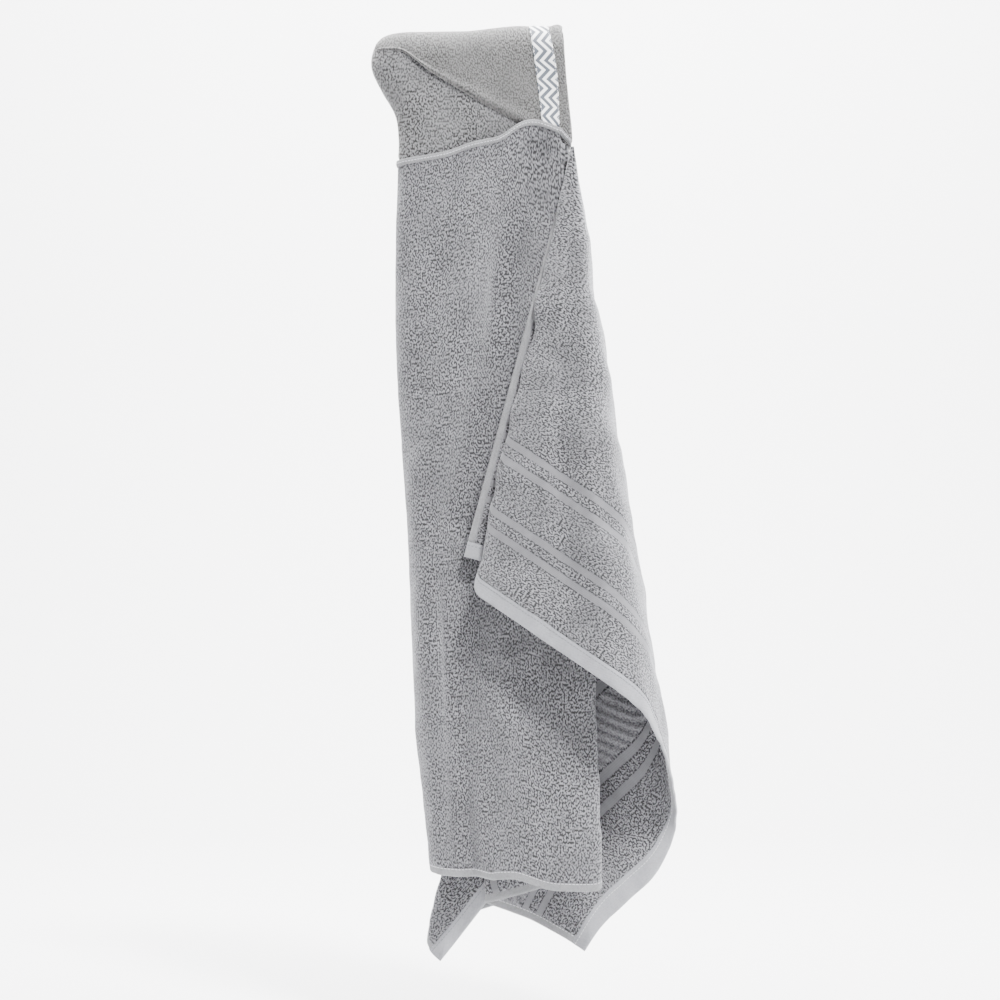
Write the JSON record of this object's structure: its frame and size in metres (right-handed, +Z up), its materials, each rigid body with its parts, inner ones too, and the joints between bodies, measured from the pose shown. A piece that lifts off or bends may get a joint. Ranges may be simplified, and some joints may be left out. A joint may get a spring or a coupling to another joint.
{
  "type": "hooded baby towel",
  "caption": "Hooded baby towel in grey terry with a chevron ribbon round the hood, hanging in profile from the top fold of the hood.",
  "frame": {"origin": "the hanging point in the middle of the hood's top fold", "axes": "+X towards the face opening, +Z up, -Y towards the near side"},
  "size_m": [0.3105, 0.1914, 0.9429],
  "materials": {
    "towel_terry": "looped terry pile",
    "hood_terry": "looped terry pile",
    "hem_weave": "flat woven cotton",
    "ribbon": "printed grosgrain",
    "thread": "cotton thread"
  },
  "bodies": {
    "root": {"far_bottom_hem": "hem_weave", "far_bottom_hem_thread": "thread", "far_end_hem": "hem_weave", "far_end_hem_thread": "thread", "far_lapel_hem": "hem_weave", "far_lapel_hem_thread": "thread", "far_neck_band": "hem_weave", "far_neck_thread": "thread", "hood_body": "hood_terry", "hood_front_panel": "hood_terry", "near_bottom_hem": "hem_weave", "near_bottom_hem_thread": "thread", "near_end_hem": "hem_weave", "near_end_hem_thread": "thread", "near_lapel_hem": "hem_weave", "near_lapel_hem_thread": "thread", "near_neck_band": "hem_weave", "near_neck_thread": "thread", "ribbon_back_thread": "thread", "ribbon_front_thread": "thread", "ribbon_trim": "ribbon", "towel_far_back_panel": "towel_terry", "towel_far_front_lapel": "towel_terry", "towel_far_inner_pleat": "towel_terry", "towel_far_outer_pleat": "towel_terry", "towel_near_back_panel": "towel_terry", "towel_near_front_lapel": "towel_terry", "towel_near_inner_pleat": "towel_terry", "towel_near_outer_pleat": "towel_terry"}
  },
  "joints": []
}
